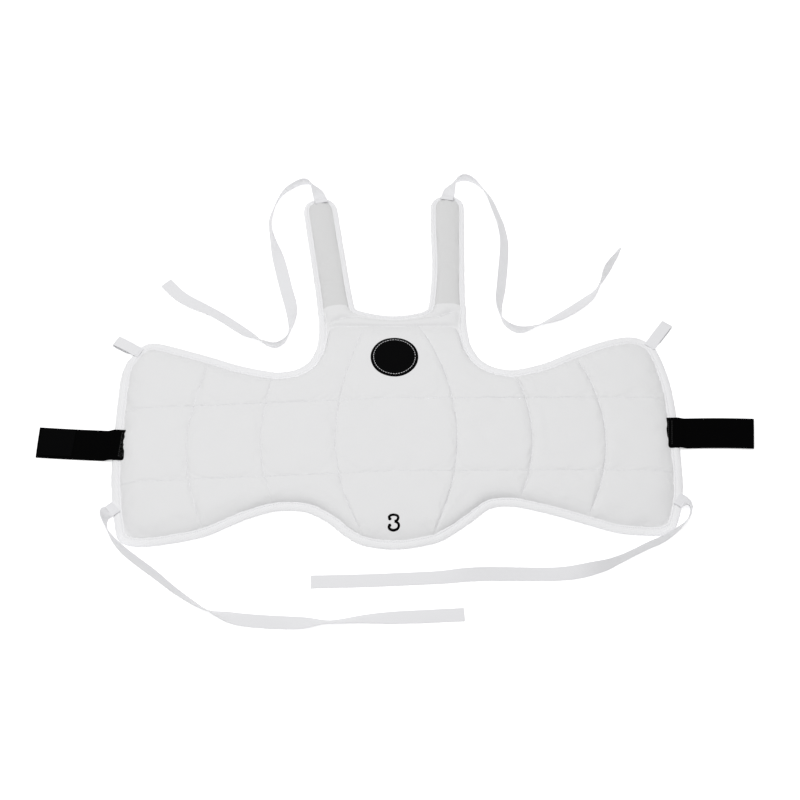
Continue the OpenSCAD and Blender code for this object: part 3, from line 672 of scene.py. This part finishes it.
pads, linings = {}, {}
for name, first, last, side, outer in STRIPS:
    pads[name] = pad_strip(name, first, last, side, outer)
    lining_name = name.replace("pad", "lining_sheet")
    linings[name] = lining_strip(lining_name, first, last, side, outer)
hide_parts("chest_front_cloth", "chest_foam")
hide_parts("chest_lining")
for side in SIDES:
    for part in ("wing", "flank"):
        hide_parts(f"{part}_front_cloth_{side}", f"{part}_foam_{side}")
        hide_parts(f"{part}_lining_{side}")


# ---- Binding: folded tape around every edge ----
def beside(p, d):
    w = ways(p)
    return p[:, :2] + np.array(d)[..., None] * np.column_stack([-w[:, 1], w[:, 0]])


def ring_of(p, out, swell):
    """Section of the folded tape at point p, which carries its width; out points away from the protector."""
    w = p[2]
    section = (
        (-0.9, 1.6), (-0.9, 2.8 + swell), (0.3, 3.5 + swell), (1.3, 3.5 + swell), (1.9, 3.05 + swell),
        (2.5, 3.5 + swell), (0.45 * w, 3.8 + swell), (0.7 * w, 3.5 + swell),
        (w - 1.3, 2.9), (w - 0.35, 2.2), (w + 0.5 * swell, 1.5), (w - 0.4, 0.7), (w - 1.5, 0.15),
        (0.5 * w, 0.0), (0.0, 0.0), (-0.9, 0.3),
    )
    around = [a + (0 if z > 1.4 else 2 * w) for a, z in section]
    return [(p[0] + out[0] * a, p[1] + out[1] * a, z) for a, z in section], around


def edging(pieces):
    """Folded tape round the whole protector, which is on its right, cut into the named pieces in turn."""
    lines = []
    for k, (_, points) in enumerate(pieces):
        following = pieces[(k + 1) % len(pieces)][1][0]
        line = np.array(list(points) + [following], float)
        keep = np.concatenate([[True], np.linalg.norm(np.diff(line[:, :2], axis=0), axis=1) > 0.05])
        lines.append(even_line(smooth_line(line[keep], 2.4), 2.2)[:-1])
    loop = np.vstack(lines)
    for _ in range(2):
        loop = (np.roll(loop, 1, axis=0) + 2 * loop + np.roll(loop, -1, axis=0)) / 4
    way = np.roll(loop, -1, axis=0)[:, :2] - np.roll(loop, 1, axis=0)[:, :2]
    way /= np.linalg.norm(way, axis=1)[:, None]
    out = np.column_stack([-way[:, 1], way[:, 0]])
    run = run_along(loop)
    swell = 0.4 * ripple(run, 5, ((31, 0.7), (11, 0.8), (5.3, 0.7)))
    made = {}
    start = 0
    for (name, _), line in zip(pieces, lines):
        at = [k % len(loop) for k in range(start, start + len(line) + 1)]
        d = run[start] + run_along(loop[at])
        shapes = [ring_of(loop[k], out[k], swell[k]) for k in at]
        uv = [[(r, a) for a in around] for r, (_, around) in zip(d, shapes)]
        build = Build()
        build.sweep(np.array([ring for ring, _ in shapes]), np.array(uv))
        inner = np.column_stack([loop[at][:, :2] + out[at] * 1.9, 3.15 + swell[at]])
        stitch_row(build, inner, 3.4, 2.4, 0.3, 1)
        made[name] = build.object(name, [TAPE, THREAD], sharp=70)
        start += len(line)
    return made


def with_width(points, width=BAND_W):
    return [(*p[:2], width) for p in points]


def top_line(first, last):
    return with_width([curve(TOP_EDGE, s) for s in across if first <= s <= last])


def bottom_line(first, last):
    return with_width([curve(BOTTOM_EDGE, s) for s in reversed(across) if first <= s <= last])


def end_line(s):
    return with_width([body_point(s, v) for v in upward[1:-1]])


def on_strap(side, x, w):
    hx, hy, lean = HINGE[side]
    dx, dy = turned(x, w, lean)
    return hx + dx, hy + dy


PAD_LEN = STRAP_LEN - STRAP_BAND_W
TIP_ROUND = 16


def strap_width(w):
    u = max(0, w - PAD_LEN + TIP_ROUND) / (TIP_ROUND + 1)
    return (STRAP_HALF + math.exp(-max(w, -6) / 15)) * (1 - u**3) ** 0.4


def strap_x(side, c, w):
    """The right strap is narrower along the middle of its inner side."""
    waist = 2.6 * math.exp(-((w - 58) / 42) ** 2) if side == "right" else 0
    return c * strap_width(w) + waist * (1 - c) / 2


CUT_W = STRAP_FOLD / 2
low_ws = list(np.linspace(0, CUT_W, 14))
tip_ws = list(np.linspace(CUT_W, PAD_LEN - TIP_ROUND, 40)) + list(
    PAD_LEN - TIP_ROUND + TIP_ROUND * np.sin(np.linspace(0, math.pi / 2, 12)[1:]))


def strap_side(side, c, ws):
    return with_width([on_strap(side, strap_x(side, c, w), w) for w in ws], STRAP_BAND_W)


def shifted(points, d):
    p = np.array(points, float)
    return [tuple(q) for q in beside(p, np.full(len(p), d))]


neck_inner = shifted(smooth_line(NECK, 2.5), -STRAP_BAND_W)
YOKE_SIDE = {
    "left": ((-77, 80, BAND_W), (-77.3, 92, BAND_W), (-77.9, 103, 9.2), (-79.6, 112, 8.2), (-82, 119, 7.2)),
    "right": ((75.5, 80, BAND_W), (74.3, 92, BAND_W), (73.6, 103, 9.4), (74.4, 112, 8.6), (75.8, 120, 7.6)),
}
middle_of_neck = len(neck_inner) // 2


def bend_strap(obj):
    """Bakes the strap piece's placement into its mesh."""
    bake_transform(obj)


def tip_line(side):
    return strap_side(side, -1, tip_ws) + strap_side(side, 1, tip_ws[::-1])[1:]


pieces = edging([
    ("hem_edging", bottom_line(3, 4)), ("wing_lower_edging_left", bottom_line(1.5, 3)),
    ("flank_edging_left", bottom_line(0, 1.5) + end_line(0) + top_line(0, 1.5)),
    ("armhole_edging_left", top_line(1.5, 2.84) + list(YOKE_SIDE["left"][1:3])),
    ("shoulder_outer_edging_left", list(YOKE_SIDE["left"][3:]) + strap_side("left", -1, low_ws[1:])),
    ("shoulder_tip_edging_left", tip_line("left")),
    ("neck_edging_left",
     strap_side("left", 1, low_ws[::-1]) + with_width(neck_inner[1:middle_of_neck], STRAP_BAND_W)),
    ("neck_edging_right",
     with_width(neck_inner[middle_of_neck:-1], STRAP_BAND_W) + strap_side("right", -1, low_ws)),
    ("shoulder_tip_edging_right", tip_line("right")),
    ("shoulder_outer_edging_right", strap_side("right", 1, low_ws[:0:-1]) + list(YOKE_SIDE["right"][:2:-1])),
    ("armhole_edging_right", list(YOKE_SIDE["right"][2:0:-1]) + top_line(4.16, 5.5)),
    ("flank_edging_right", top_line(5.5, 7) + end_line(7)[::-1] + bottom_line(5.5, 7)),
    ("wing_lower_edging_right", bottom_line(4, 5.5)),
])
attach(pieces["hem_edging"], "chest")
EDGING_NODES = {
    "flank_edging": "flank_binding", "wing_lower_edging": "wing_binding", "armhole_edging": "armhole_binding",
    "shoulder_outer_edging": "shoulder_binding", "shoulder_tip_edging": "shoulder_tip_binding",
}
for name, obj in pieces.items():
    part, _, side = name.rpartition("_")
    if part in EDGING_NODES:
        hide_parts(f"{EDGING_NODES[part]}_{side}")
    if part in ("flank_edging", "wing_lower_edging", "armhole_edging"):
        bend(obj)
    elif part != "hem":
        bend_strap(obj)
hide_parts("hem_binding")
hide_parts("neck_binding")


# ---- Yoke and shoulder straps ----
edge_points = np.array(
    [p[:2] for p in strap_side("left", -1, low_ws + tip_ws) + strap_side("left", 1, low_ws + tip_ws)
     + strap_side("right", -1, low_ws + tip_ws) + strap_side("right", 1, low_ws + tip_ws)]
    + [q[:2] for line in YOKE_SIDE.values() for q in smooth_line(line, 2)] + neck_inner)
# Crease across the yoke, where the padding of the straps starts
FOLD = ((-90, 97), (-80, 100), (-71, 106.5), (-60.5, 110), (-42.5, 112.4), (-20, 109), (0, 107.7),
        (20.5, 109), (35, 111.5), (53, 113), (67, 119), (80, 122.7), (90, 125))
STRAP_TOP = 8.6
STRAP_CREASES = (
    ((-96, 203), (-76, 194), 1.8, 3.0), ((-92, 182), (-74, 186), 1.3, 3), ((-90, 158), (-66, 160), 2.0, 3.2),
    ((-84, 146), (-66, 148), 1.2, 3), ((-84, 131), (-58, 134), 1.1, 4), ((-58, 131), (-44, 119), 1.2, 4),
    ((47, 188), (77, 182), 2.0, 3.0), ((50, 214), (72, 211), 1.3, 4), ((46, 170), (58, 176), 0.9, 4),
    ((52, 131), (74, 122), 1.3, 3.5), ((-100, 232), (-80, 236), 0.7, 5), ((48, 244), (74, 240), 0.7, 5),
)


def soft_height(x, y):
    """Height of the yoke and the straps."""
    edge = np.min(np.hypot(edge_points[:, 0] - x, edge_points[:, 1] - y))
    fold_y = np.interp(x, [f[0] for f in FOLD], [f[1] for f in FOLD])
    over = y - fold_y
    if over < 0:
        rise = (1 - math.exp(-max(0, y - 100) / 2.2)) * (1 - math.exp(over / 1.3))
        top = 3.2 + 3.6 * max(0, rise)
    else:
        top = 3.5 + (STRAP_TOP - 3.5) * (1 - math.exp(-over / 4.0))
    z = 3.0 + max(0, top - 3.0) * (1 - math.exp(-edge / 4.2)) / (1 - math.exp(-STRAP_HALF / 4.2))
    return z + sum(dent(x, y, *crease) for crease in STRAP_CREASES) * (1 - math.exp(-edge / 3))


def soft_grid(points):
    """Grid with heights, from a grid of (x, y)."""
    return np.array([[(x, y, soft_height(x, y)) for x, y in row] for row in points])


def soft_piece(name, points, nodes, cloth):
    """Closed pad over a grid of points, which stands for those nodes; gives it and the grid of its top."""
    top = soft_grid(points)
    base = top.copy()
    base[:, :, 2] = PAD_BASE
    build = Build()
    build.slab(top, base, top[:, :, :2], 0, 1)
    obj = build.object(name, [cloth, LINING])
    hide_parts(*nodes)
    return obj, top


def even_count(points, count):
    p = np.array(points, float)
    run = run_along(p)
    at = np.linspace(0, run[-1], count)
    return np.column_stack([np.interp(at, run, p[:, k]) for k in (0, 1)])


def yoke_points():
    """Grid between the pad's upper edge and the line of the strap hinges and the neck."""
    low = [
        ((-77, 80), (-75.6, 88), (-72, 94), (-66, 97), (-56, 98)), ((-56, 98), (0, 98.5), (50, 98)),
        ((50, 98), (62, 97), (70, 94), (74, 87), (75.5, 80)),
    ]
    hinge_left = [on_strap("left", strap_x("left", c, 0), 0) for c in (-1, 0, 1)]
    hinge_right = [on_strap("right", strap_x("right", c, 0), 0) for c in (-1, 0, 1)]
    high = [hinge_left, neck_inner, hinge_right]
    counts = (16, 60, 16)
    rows = [np.vstack([even_count(part, count)[:-1] for part, count in zip(line, counts)]
                      + [np.array(line[-1][-1:], float)[:, :2]]) for line in (low, high)]
    return [[tuple(lerp(a, b, t)) for a, b in zip(*rows)] for t in np.linspace(0, 1, 26)]


yoke, _ = soft_piece("yoke_cloth", yoke_points(), ["yoke_panel"], CLOTH)
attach(yoke, "chest")
ACROSS_STRAP = np.linspace(-1, 1, 23)
for side in SIDES:
    for tip, ws, count in ((False, low_ws, 14), (True, tip_ws[:-1], 44)):
        part = "shoulder_tip" if tip else "shoulder"
        even_ws = even_count([(w, 0) for w in ws], count)[:, 0]
        points = [[on_strap(side, strap_x(side, c, w), w) for c in ACROSS_STRAP] for w in even_ws]
        nodes = [f"{part}_cloth_{side}", f"{part}_wadding_{side}"]
        # The strap pads take the cloth that is coloured darker as painted shade
        obj, top = soft_piece(f"{part}_pad_{side}", points, nodes, SHADED_STRAP_CLOTH)
        bend_strap(obj)
        flat = top[::2, ::2].copy()
        under = flat.copy()
        flat[:, :, 2] = LINING_TOP
        under[:, :, 2] = 0.0
        build = Build()
        build.slab(flat, under, flat[:, :, :2])
        obj = build.object(f"{part}_lining_sheet_{side}", [LINING])
        bend_strap(obj)
        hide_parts(f"{part}_lining_{side}")


# ---- Side straps ----
SEWN_REACH = 17.5
SIDE_LEN = 81
SIDE_T = 1.5
# Top of the strap where it is sewn over the binding, and where its free end starts to skew
SEWN_Z = 5.2
SKEW_FROM = 40


def side_strap(side):
    """Elastic strap sewn over the binding of one end, falling to the ground beyond it."""
    x0, y0, turn = SIDE[side]
    lift = 0 if side == "left" else 1
    ls = np.concatenate(
        [np.linspace(-SEWN_REACH, -2, 9), np.linspace(-1, 9, 9), np.linspace(11, SIDE_LEN, 36)])
    cs = np.linspace(-0.5, 0.5, 17)
    top, bottom, uv = [], [], []
    for along in ls:
        ground = lift + SIDE_T
        fall = min(1, max(0, (along + 2.5) / 9))
        z = lerp(SEWN_Z, ground, fall * fall * (3 - 2 * fall))
        ripple_z = 0.35 * max(0, fall - 0.2) * (1 + math.sin(along / 11 + (0 if side == "left" else 2)))
        row_top, row_bottom, row_uv = [], [], []
        for c in cs:
            bow = 0.7 * math.sin(along / 24) * (1 if side == "right" else 0.3)
            across_y = c * SIDE_W + bow
            past = max(0, along - SKEW_FROM) / (SIDE_LEN - SKEW_FROM)
            skew = (-0.05 if side == "left" else 0.11) * c * SIDE_W * past
            dx, dy = turned(along + skew, across_y, turn)
            edge = min(0, (0.5 - abs(c)) * SIDE_W - 1.2) * 0.35
            zz = z + ripple_z * (0.6 + 0.4 * math.cos(5 * c))
            row_top.append((x0 + dx, y0 + dy, zz + edge))
            row_bottom.append((x0 + dx, y0 + dy, max(zz - SIDE_T, GROUND)))
            row_uv.append((along, across_y))
        top.append(row_top)
        bottom.append(row_bottom)
        uv.append(row_uv)
    build = Build()
    build.slab(np.array(top), np.array(bottom), np.array(uv))
    top = np.array(top)

    def spot(along, c):
        j = int(np.clip(np.searchsorted(ls, along), 1, len(ls) - 1))
        t = (along - ls[j - 1]) / (ls[j] - ls[j - 1])
        k = (c + 0.5) * (len(cs) - 1)
        return lerp(top[j - 1][round(k)], top[j][round(k)], t) + [0, 0, 0.1]

    rows = ((-15.5, -15.5), (-11, -11)) if side == "left" else ((-15.5, -12.5), (-11.5, -8.5))
    for a, b in rows:
        line = [spot(lerp(a, b, t), lerp(-0.46, 0.46, t)) for t in np.linspace(0, 1, 12)]
        stitch_row(build, line, 2.6, 1.7, 0.28, 1)
    for a, b in (rows if side == "left" else ()):
        line = [spot(a + (4.5 if k % 2 else 0) * (a < -12), lerp(-0.46, 0.46, k / 12)) for k in range(13)]
        stitch_row(build, line, 2.6, 1.7, 0.22, 1)
    line = [spot(SIDE_LEN - 3.5, c) for c in np.linspace(-0.46, 0.46, 12)]
    stitch_row(build, line, 2.8, 2, 0.22, 2)
    obj = build.object(f"side_elastic_{side}", [ELASTIC, DARK_THREAD, ELASTIC])
    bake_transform(obj)
    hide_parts(f"side_strap_{side}", f"side_strap_sewn_end_{side}")


def closing_patch(side):
    """Hook or loop pile on the last part of a side strap."""
    x0, y0, turn = SIDE[side]
    node = "loop_patch" if side == "left" else "hook_patch"
    z0, z1 = (SIDE_T + 0.15, SIDE_T + 0.95) if side == "left" else (0.0, 0.95)
    ls = np.linspace(SIDE_LEN - 40, SIDE_LEN - 2, 24)
    cs = np.linspace(-16.5, 16.5, 20)
    top, uv = [], []
    for along in ls:
        row = []
        for c in cs:
            dx, dy = turned(along, c, turn)
            row.append((x0 + dx, y0 + dy, z1))
        top.append(row)
        uv.append([(along, c) for c in cs])
    top = np.array(top)
    bottom = top.copy()
    bottom[:, :, 2] = z0
    top[1:-1, 1:-1, 2] += 0.25
    build = Build()
    build.slab(top, bottom, np.array(uv))
    obj = build.object(f"{node}_pile", [PILE])
    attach(obj, f"side_strap_{side}")
    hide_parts(node)


for side in SIDES:
    side_strap(side)
    closing_patch(side)


# ---- Tie loops ----
SEWN_TAPE_T = 0.9


def flat_sweep(build, line, width, thick, place_point, slot=0):
    """Tape along a line of (along, z), carried into place by place_point(along, c, z)."""
    p = smooth_line(line, 1.5)
    way = ways(p)
    run = run_along(p)
    rings, uv = [], []
    for (a, z), (wa, wz), d in zip(p, way, run):
        na, nz = -wz * thick / 2, wa * thick / 2
        ring = []
        for c in (-1, -0.5, 0, 0.5, 1):
            k = 0.8 if abs(c) == 1 else 1
            ring.append((a + na * k, c * width / 2, z + nz * k))
        for c in (1, 0.5, 0, -0.5, -1):
            k = 0.8 if abs(c) == 1 else 1
            ring.append((a - na * k, c * width / 2, z - nz * k))
        rings.append([place_point(*q) for q in ring])
        uv.append([(d, q[1]) for q in ring])
    build.sweep(np.array(rings), np.array(uv), slot)


def tie_loop(side):
    """Folded tape: out over the binding and back under it to the same seam."""
    x0, y0, turn, length = LOOP[side]

    def placed(along, c, z):
        dx, dy = turned(along, c, turn)
        return x0 + dx, y0 + dy, max(z, GROUND)

    line = (
        (-9.5, 4.3), (-5, 4.9), (0, 5.3), (7, 5.9), (length - 6, 5.7), (length - 2, 5.1),
        (length - 0.2, 3.7), (length - 0.6, 2.0), (length - 3, 0.9), (length - 9, 0.6), (9, 0.6), (4, 1.6),
        (1.2, 3.4), (-1.5, 4.0), (-8, 3.9),
    )
    build = Build()
    flat_sweep(build, line, LOOP_W, SEWN_TAPE_T, placed)
    for along, z in ((-7.5, 5.1), (-2.5, 5.35)):
        stitch_row(build, [placed(along, c, z) for c in (-5.6, 5.6)], 2.4, 1.7, 0.25, 1)
    for c in (-5.2, 5.2):
        stitch_row(build, [placed(a, c, 5.2) for a in (-8, -2)], 2.4, 1.7, 0.25, 1)
    obj = build.object(f"loop_tape_{side}", [TIE, THREAD])
    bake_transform(obj)
    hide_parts(f"tie_loop_{side}", f"tie_loop_sewn_end_{side}")


for side in SIDES:
    tie_loop(side)


# ---- Sewn ends of the ties ----
def sewn_end(tie_name, body, reach):
    """Box-stitched end of a tie on the binding."""
    line = tie_line(ROUTES[tie_name])
    way = ways(line)[0]
    turn = math.degrees(math.atan2(way[1], way[0]))
    x0, y0 = line[0][:2]

    def placed(along, c, z):
        dx, dy = turned(along, c, turn)
        return x0 + dx, y0 + dy, z

    def height(along):
        x, y, _ = placed(along, 0, 0)
        rest = 4.35 + 0.5 * min(1, -along / 4) * (along < 0)
        on_pad_cloth = body.startswith("shoulder") and along < -STRAP_BAND_W + 1
        return max(rest, soft_height(x, y) + 0.75) if on_pad_cloth else rest

    build = Build()
    flat_sweep(build, [(a, height(a)) for a in np.linspace(-reach, 0.4, 6)], TIE_W, SEWN_TAPE_T, placed)
    near, far = -1.5, -reach + 1.5
    for a in (near, lerp(near, far, 0.5), far):
        stitch_row(build, [placed(a, c, height(a) + 0.55) for c in (-6.2, 6.2)], 2.3, 1.7, 0.24, 1)
    for c in (-6.3, 6.3):
        stitch_row(build, [placed(a, c, height(a) + 0.55) for a in (near, far)], 2.3, 1.7, 0.24, 1)
    obj = build.object(f"{tie_name}_end_patch", [TIE, THREAD])
    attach(obj, body)
    name, side = tie_name.rsplit("_", 1)
    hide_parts(f"{name}_sewn_end_{side}")


for side in SIDES:
    sewn_end(f"upper_tie_{side}", f"shoulder_tip_{side}", 12)
    sewn_end(f"lower_tie_{side}", f"flank_{side}", 9)


# ---- Badge and size number ----
BADGE_RIM = 2.6


def badge():
    """Plain round patch with a raised rim and a ring of stitches."""
    build = Build()
    rings = np.linspace(0.02, 1, 15) * BADGE_R
    turns = np.linspace(0, 2 * math.pi, 73)[:-1]
    points, uv = [], []
    for k, r in enumerate(rings):
        rim = 0.45 if r > BADGE_R - BADGE_RIM else 0
        for q in turns:
            x, y = r * math.cos(q), BADGE_Y + r * math.sin(q)
            points.append(on_pad(x, y, 0.55 + rim if k < len(rings) - 1 else 0.05))
            uv.append((x, y) if r < BADGE_R - BADGE_RIM else (BADGE_R * q, r))
    count = len(turns)
    build.add(points, uv, ring_faces(len(rings), count) + [tuple(range(count))], 0)
    inner = BADGE_R - BADGE_RIM - 0.8
    circle = [on_pad(inner * math.cos(q), BADGE_Y + inner * math.sin(q), 0.62)
              for q in np.linspace(0, 2 * math.pi, 90)]
    stitch_row(build, circle, 3.0, 2.3, 0.3, 1)
    obj = build.object("round_badge", [PATCH, THREAD])
    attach(obj, "chest")
    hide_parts("badge_patch")


# Line of the digit's stroke, and the point where its two bowls meet
DIGIT = (
    (-4.5, 3.7), (-5.3, 5.7), (-3.6, 7.7), (-0.4, 8.4), (3.2, 7.5), (4.4, 5.2), (3.4, 2.4), (0.7, 0.9),
    (3.9, -0.8), (5.1, -3.6), (3.7, -7), (0, -8.4), (-4, -7.4), (-5.6, -5.1), (-4.6, -3.5),
)
DIGIT_WAIST = 8


def size_number():
    """Printed digit: a swept stroke in two bowls, with a round dot at each end."""
    build = Build()
    for part in (DIGIT[:DIGIT_WAIST], DIGIT[DIGIT_WAIST - 1:]):
        line = smooth_line(part, 0.6)
        top = []
        for p, w in zip(line, ways(line)):
            left = np.array([-w[1], w[0]])
            stroke = [p + left * d for d in np.linspace(-0.5, 0.5, 5) * DIGIT_STROKE]
            top.append([on_pad(x, DIGIT_Y + y, 0.3) for x, y in stroke])
        top = np.array(top)
        build.slab(top, top - [0, 0, 0.4], top[:, :, :2])
    turns = np.linspace(0, 2 * math.pi, 21)
    for x, y in (DIGIT[0], DIGIT[-1]):
        top = np.array([[on_pad(x + r * math.cos(q), DIGIT_Y + y + r * math.sin(q), 0.34) for q in turns]
                        for r in (0.1, 0.9, 1.75)])
        build.slab(top, top - [0, 0, 0.44], top[:, :, :2])
    obj = build.object("size_mark", [PRINT])
    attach(obj, "chest")
    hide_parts("size_number")


badge()
size_number()


# ---- Floor and light ----
FLOOR_HALF = 6
FLOOR_Z = -0.0004


def floor():
    mesh = bpy.data.meshes.new("floor")
    corners = [(x * FLOOR_HALF, y * FLOOR_HALF, FLOOR_Z) for x, y in ((-1, -1), (1, -1), (1, 1), (-1, 1))]
    mesh.from_pydata(corners, [], [(0, 1, 2, 3)])
    obj = bpy.data.objects.new("floor", mesh)
    bpy.context.collection.objects.link(obj)
    mat = bpy.data.materials.new("pale_floor")
    mat.use_nodes = True
    shader = mat.node_tree.nodes["Principled BSDF"]
    shader.inputs["Base Color"].default_value = (0.95, 0.95, 0.95, 1)
    shader.inputs["Roughness"].default_value = 0.9
    shader.inputs["Specular IOR Level"].default_value = 0.0
    shader.inputs["Emission Color"].default_value = (1, 1, 1, 1)
    shader.inputs["Emission Strength"].default_value = 0.4
    mesh.materials.append(mat)


def area_light(name, place, aim, size, power):
    data = bpy.data.lights.new(name, "AREA")
    data.size = size
    data.energy = power
    light = bpy.data.objects.new(name, data)
    bpy.context.collection.objects.link(light)
    light.location = place
    light.rotation_euler = (Vector(aim) - Vector(place)).to_track_quat("-Z", "Y").to_euler()


floor()
area_light("key", (-0.2, 0.1, 2.0), (0, 0, 0), 1.8, 29)
world = bpy.data.worlds.new("studio")
bpy.context.scene.world = world
world.use_nodes = True
world.node_tree.nodes["Background"].inputs["Color"].default_value = (1, 1, 1, 1)
world.node_tree.nodes["Background"].inputs["Strength"].default_value = 0.41
bpy.context.scene.view_settings.view_transform = "Standard"
